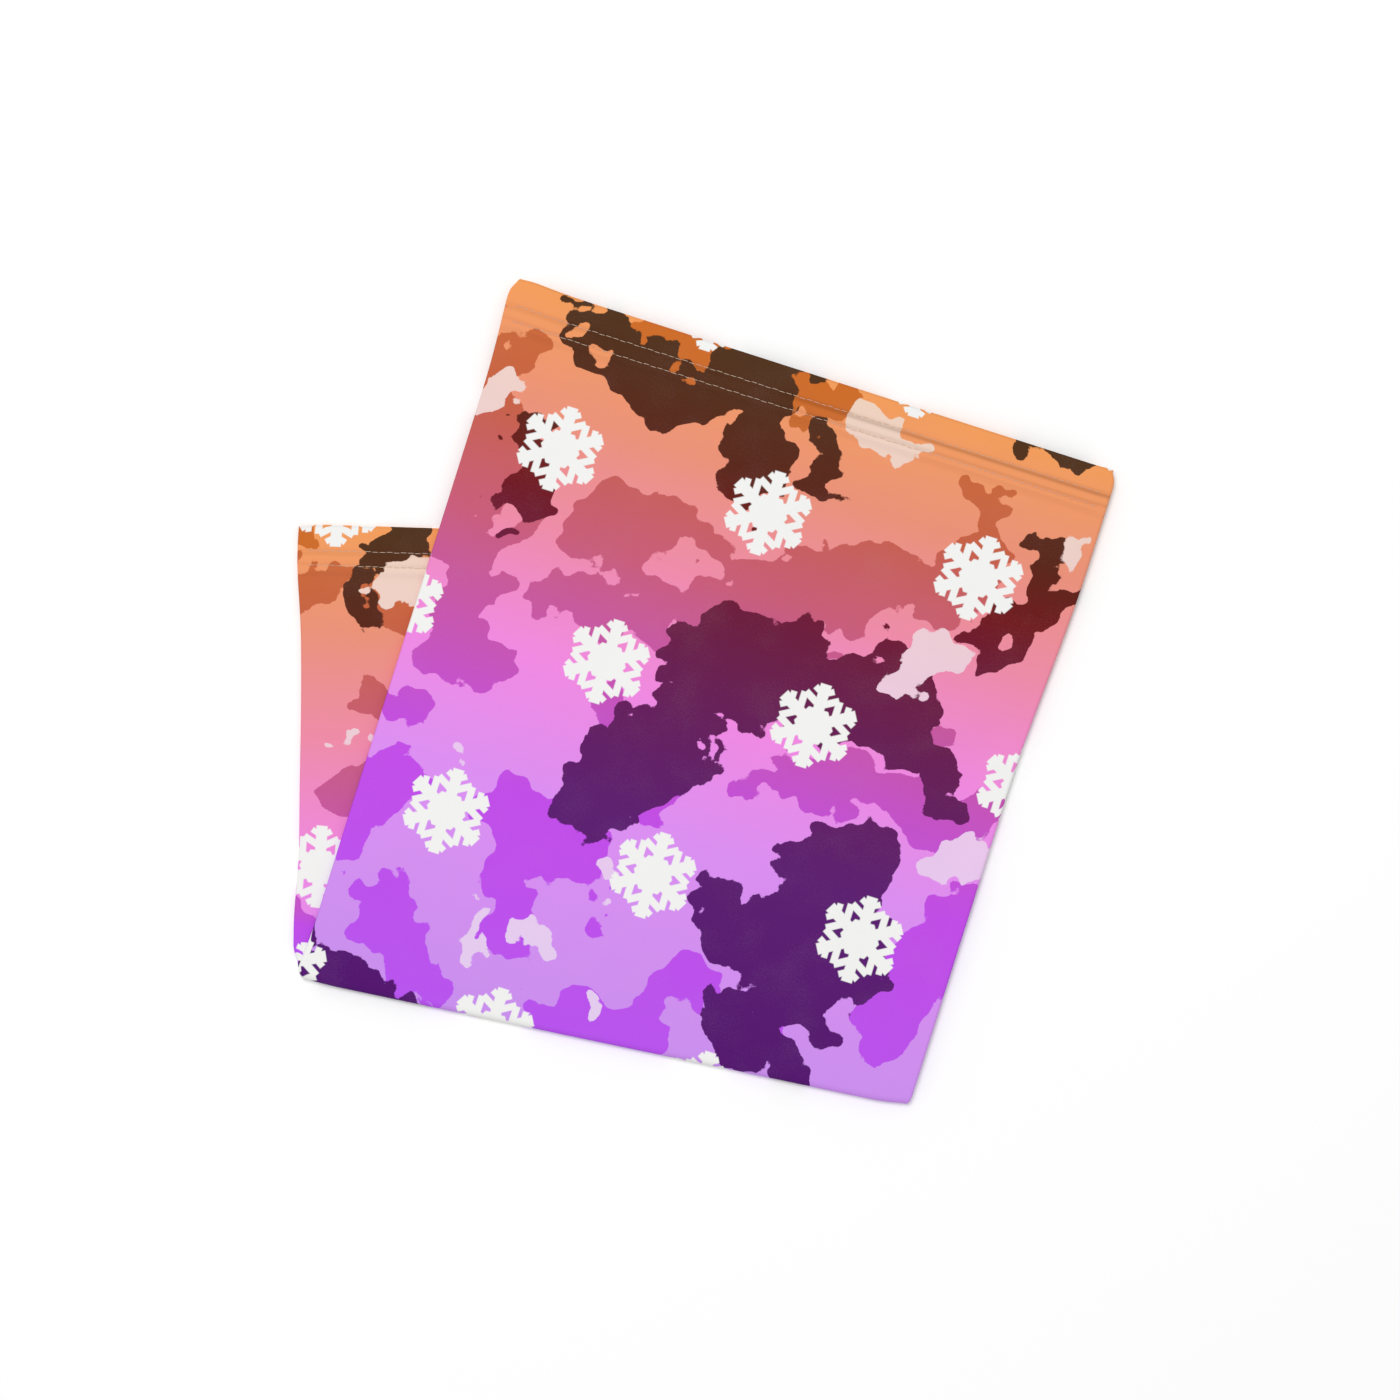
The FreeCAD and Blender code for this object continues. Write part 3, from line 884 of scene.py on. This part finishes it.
outer, inner = CREASE[4:], CREASE[:5]  # the halves of a crease that belong to the outer and the inner turn
flat = columns(0.0, 1.0)
across = np.concatenate([0 * outer, flat[1:-1], 0 * outer + 1])
roll = np.concatenate([outer, np.full(len(flat) - 2, math.pi), outer[::-1]])
pieces["outer_fold"] = fold_cloth("outer_fold_cloth", across, roll, 19, False, 0.1, 5.1, "outer_fold")
flat = np.concatenate([columns(0.0, 0.5)[1:-1], [MIDDLE_LINE, 0.5], columns(0.5, 1.0)[1:-1]])
across = np.concatenate([0 * inner, flat, 0 * inner + 1])
roll = np.concatenate([inner[::-1], flat * 0, inner])
pieces["inner_fold"] = fold_cloth("inner_fold_cloth", across, roll, 9, True, 2.2, 3.0, "inner_fold")
print(len(pieces), "pieces of cloth")

# %% [markdown]
# ## Threads
#
# A coverstitch shows two straight rows of short stitches outside and a zigzag of looper thread inside. Each
# outer stitch comes up through the cloth, lies in the groove that it presses, and goes down again 2.8 mm on.
# They are swept as small tapered tubes along the cloth's own surface, so they follow every wave in it.

# %% Finish of the threads
def stitch_thread():
    finish = Finish("stitch_thread")
    run, turn = finish.parts(finish.attribute("thread_place", "Vector"))
    twist = (run * 9.0 + turn * (2 * math.pi)).math("SINE") * 0.5 + 0.5
    shade = finish.mix((twist * 0.35).clamped(), colour("DEC6B0"), colour("AE917A"))
    bump = {"Strength": 0.6, "Distance": 0.00005, "Height": twist}
    normal = finish.node("ShaderNodeBump", {}, bump, "Normal")
    rough = 0.62 - twist * 0.1
    return finish.surface(Base_Color=shade, Roughness=rough, Normal=normal, Specular_IOR_Level=0.35)


STITCH_THREAD = stitch_thread()
print(len(STITCH_THREAD.node_tree.nodes), "nodes in the thread's finish")


# %% Tubes along paths
SIDES = 6
THREAD = 0.11  # radius of a needle thread


def thread(name, paths, up, radius=THREAD, taper=0.5):
    """Tubes along paths, each an array of points in metres; up is the way the cloth faces, +1 or -1."""
    points, faces, places = [], [], []
    for path in paths:
        path = np.asarray(path)
        count, base = len(path), sum(len(p) for p in points)
        tangent = np.gradient(path, axis=0)
        tangent /= np.linalg.norm(tangent, axis=1, keepdims=True) + 1e-12
        side = np.cross(tangent, [0, 0, up])
        side /= np.linalg.norm(side, axis=1, keepdims=True) + 1e-12
        over = np.cross(side, tangent)
        ends = np.minimum(np.arange(count), np.arange(count)[::-1]) / max(count / 5, 1)
        width = radius * MM * (taper + (1 - taper) * smooth(ends))
        angles = np.arange(SIDES) * 2 * math.pi / SIDES
        ring = np.cos(angles)[:, None] * side[:, None] + np.sin(angles)[:, None] * over[:, None]
        points.append((path[:, None] + ring * width[:, None, None]).reshape(-1, 3))
        run = np.concatenate([[0], np.cumsum(np.linalg.norm(np.diff(path, axis=0), axis=1))]) / MM
        place = np.broadcast_arrays(run[:, None], angles / math.pi / 2, 0.0)
        places.append(np.stack(place, -1).reshape(-1, 3))
        k, s = np.meshgrid(np.arange(count - 1), np.arange(SIDES), indexing="ij")
        a, b = base + k * SIDES + s, base + k * SIDES + (s + 1) % SIDES
        faces += np.stack([a, b, b + SIDES, a + SIDES], -1).reshape(-1, 4).tolist()
        last = base + (count - 1) * SIDES
        faces += [list(range(base, base + SIDES))[::-1], list(range(last, last + SIDES))]
    made = mesh_object(name, np.concatenate(points), faces, [STITCH_THREAD])
    store(made.data, "thread_place", np.concatenate(places), vector=True)
    return made


print("threads", 2 * THREAD, "mm thick")


# %% Paths of the stitches
def needle_rows(leaf, q0, q1, roll, lift):
    """Paths of the stitches in both rows, from q0 to q1."""
    count = max(int(round((q1 - q0) * PLY_WIDTH / STITCH)), 1)
    along = np.linspace(0.04, 0.93, 7)
    paths = []
    for row in STITCH_ROWS:
        for i in range(count):
            q = q0 + (q1 - q0) * (i + along) / count
            around, down = leaf.cloth_place(q, roll, row + 0 * q)
            side = np.minimum(q, 1 - q) * PLY_WIDTH
            height = RIDGE * lift * smooth(side / HEM_FADE) - 0.06 + 0.3 * (np.sin(math.pi * along) ** 0.5 - 1)
            height = height + wave_rise(around, down, side, lift)
            wander = 0.12 * np.sin(i * 2.4 + row)
            paths.append(leaf.point(q, roll + 0 * q, row + wander + 0 * q, 0 * q, height))
    return paths


def looper_path(leaf, q0, q1, roll):
    """The looper thread's zigzag on the inner face of the turned-in band."""
    count = max(int(round((q1 - q0) * PLY_WIDTH / STITCH)), 1)
    steps = np.arange(count * 8 + 1) / 8
    q = q0 + (q1 - q0) * np.clip(steps / count, 0.003, 0.997)
    swing = 0.5 + 0.5 * np.clip(1.25 * np.sin(steps * 2 * math.pi), -1, 1)
    row = STITCH_ROWS[0] + (STITCH_ROWS[1] - STITCH_ROWS[0]) * swing
    return [leaf.point(q, roll + 0 * q, row, 2 * TURN + 0.1 + 0 * q, 0 * q)]


# %% Sew the hems
INSET = 0.012  # share of a ply at each side that the stitches leave to the crease
LOOPER = 0.12  # radius of a looper thread
HEMS = (  # leaf, ply, roll, the way that it faces, and its relief
    (UPPER, "upper_front", 0.0, 1, UPPER_LIFT),
    (LOWER, "lower_back", 0.0, 1, LOWER_LIFT),
    (UPPER, "upper_back", math.pi, -1, 0.0),
    (LOWER, "lower_front", math.pi, -1, 0.0),
)
for leaf, ply, roll, up, lift in HEMS:
    for side, (q0, q1) in HALVES.items():
        q0, q1 = (q0 + INSET, q1) if side == "left" else (q0, q1 - INSET)
        stitches = thread(f"{ply}_stitches_{side}", needle_rows(leaf, q0, q1, roll, lift), up)
        looper = thread(f"{ply}_looper_{side}", looper_path(leaf, q0, q1, roll), -up, LOOPER, 1.0)
        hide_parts(f"{ply}_needle_threads")
        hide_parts(f"{ply}_looper_thread")
        for piece in (stitches, looper):
            if ply == "upper_front":
                blend_to_middle(piece, leaf, side)
            elif ply == "lower_back":
                blend_to_middle(piece, leaf, side)
            else:
                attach(piece, ply)
            pieces[piece.name] = piece
print("stitches", round(PLY_WIDTH / STITCH), "to a row")

# %% [markdown]
# ## The seam
#
# Inside the back, the two trimmed edges of the cloth are pressed to one side, with an overlock thread
# wrapped round them. The strip is a narrow piece of cloth of double thickness, and the thread runs over it in
# a zigzag.

# %% Seam allowance and overlock thread
SEAM_WIDTH, SEAM_DEPTH, SEAM_THICK = 6.0, 0.74, 0.6
SEAM_START, SEAM_END = HEM + 1.5, 3.0  # from the mouth's edge, and short of the fold
OVERLOCK = 1.8  # length of one overlock stitch
SEAMS = (  # leaf, name, roll, body and relief
    (UPPER, "upper", math.pi, "upper_back", 0.0),
    (LOWER, "lower", 0.0, "lower_back", LOWER_LIFT),
)
for leaf, name, roll, body, lift in SEAMS:
    middle = leaf.length(0.5)
    run = np.linspace(SEAM_START, middle - SEAM_END, int(middle / 2.5))[:, None]
    out = np.linspace(0.1, SEAM_WIDTH, 6)[None, :]
    q = 0.5 + out / PLY_WIDTH + 0 * run
    roll_grid = roll + 0 * q
    around, down = leaf.cloth_place(q, roll_grid, run + 0 * q)
    sag = 0.06 * np.sin(run / 4.0) * out / SEAM_WIDTH
    rise = ply_rise(leaf, q, run + 0 * q, around, down, lift)
    points = leaf.point(q, roll_grid, run + 0 * q, SEAM_DEPTH + sag, rise)
    strip = mesh_object(f"{name}_seam_edges", points, grid_faces(*q.shape, roll < 1), [KNIT_INSIDE])
    store(strip.data, "cloth_place", np.stack([out + 0 * run, run + 0 * out, 0 * q], -1), vector=True)
    thick = strip.modifiers.new("Two layers", "SOLIDIFY")
    thick.thickness, thick.offset = SEAM_THICK * MM, -1
    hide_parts(f"{name}_seam_allowance")
    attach(strip, body)
    steps = np.arange(0, (middle - SEAM_END - SEAM_START) / OVERLOCK, 0.125)
    q = 0.5 + (0.2 + 2.9 * (1 + np.clip(1.2 * np.sin(steps * 2 * math.pi), -1, 1))) / PLY_WIDTH
    run = SEAM_START + steps * OVERLOCK
    around, down = leaf.cloth_place(q, roll + 0 * q, run)
    rise = ply_rise(leaf, q, run, around, down, lift)
    path = leaf.point(q, roll + 0 * q, run, SEAM_DEPTH + SEAM_THICK + 0.1, rise)
    overlock = thread(f"{name}_seam_overlock", [path], 1 if roll > 1 else -1, THREAD, 1.0)
    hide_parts(f"{name}_seam_thread")
    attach(overlock, body)
    pieces[strip.name], pieces[overlock.name] = strip, overlock
print("seam of", len(SEAMS), "lengths,", SEAM_WIDTH, "mm wide")

# %% [markdown]
# ## What each sheet is
#
# A table lists how large each sheet of cloth was cut and what it lies on, and the loop below gathers the
# threads and other pieces that each one carries.
# On the real tube all of it is one sheet, about 490 mm round and 507 mm long with its two hems let out.

HALF = 0.1225  # half the flat width, in metres
TURNED_IN = 0.0195  # the turned-in band and the cloth round the mouth's edge
UPPER_CUT, LOWER_CUT = 0.272 + TURNED_IN, 0.1965 + TURNED_IN
SHEETS = {
    "upper_front_left": (HALF, UPPER_CUT, ["upper_back_left"]),
    "upper_front_right": (HALF, UPPER_CUT, ["upper_back_right"]),
    "upper_back_left": (HALF, UPPER_CUT, ["lower_back_left"]),
    "upper_back_right": (HALF, UPPER_CUT, ["lower_back_right"]),
    "lower_back_left": (HALF, LOWER_CUT, ["lower_front_and_sides"]),
    "lower_back_right": (HALF, LOWER_CUT, ["lower_front_and_sides"]),
    "lower_front": (2 * HALF, LOWER_CUT, ["floor"]),
}
EXTRAS = {
    "lower_front": ["outer_fold_cloth", "inner_fold_cloth"],
    "upper_back_right": ["upper_seam_edges", "upper_seam_overlock"],
    "lower_back_right": ["lower_seam_edges", "lower_seam_overlock"],
}
for name, (width, length, under) in SHEETS.items():
    ply, _, side = name.rpartition("_") if name != "lower_front" else ("lower_front", "", "")
    threads = [p for p in pieces if p.startswith(f"{ply}_stitches") or p.startswith(f"{ply}_looper")]
    threads = [p for p in threads if p.endswith(side)]
    carried = threads + EXTRAS.get(name, [])
print(len(SHEETS), "sheets")

# %% [markdown]
# ## Floor, light and camera
#
# The gaiter lies on plain white, seen from straight above, in light so soft that it only just shades the
# edges. White surroundings give most of that light, and one wide lamp gives the cloth its slight relief.

# %% Stage
REACHES, DROP = (-3.0, 3.0), -0.0002  # how far the floor goes, and its height, in metres
ground = np.array([[[x, y, DROP] for x in REACHES] for y in REACHES])
white = Finish("white_floor").surface(Base_Color=colour("FFFFFF"), Roughness=0.9, Specular_IOR_Level=0.0)
floor = mesh_object("floor", ground, grid_faces(2, 2, False), [white])

world = bpy.data.worlds.new("soft_white")
world.use_nodes = True
world.node_tree.nodes["Background"].inputs["Strength"].default_value = 0.6
world.node_tree.nodes["Background"].inputs["Color"].default_value = (1, 1, 1, 1)
bpy.context.scene.world = world
bpy.context.scene.view_settings.view_transform = "Standard"


def lamp(name, place, target, size, watts):
    light = bpy.data.lights.new(name, "AREA")
    light.size, light.energy = size, watts
    made = bpy.data.objects.new(name, light)
    bpy.context.scene.collection.objects.link(made)
    made.location = place
    direction = Vector(target) - Vector(place)
    made.rotation_euler = direction.to_track_quat("-Z", "Y").to_euler()


lamp("wide_lamp", (-0.4, 0.7, 2.6), (0, 0, 0), 1.1, 34.5)

camera = bpy.data.cameras.new("camera")
camera.lens, camera.sensor_width = 100.0, 36.0
view = bpy.data.objects.new("camera", camera)
bpy.context.scene.collection.objects.link(view)
FIELD = 0.551  # metres across the view at the cloth
view.location = (-0.00197, -0.00295, FIELD * camera.lens / camera.sensor_width + 0.005)
bpy.context.scene.camera = view
print("camera", round(view.location.z, 3), "m up")
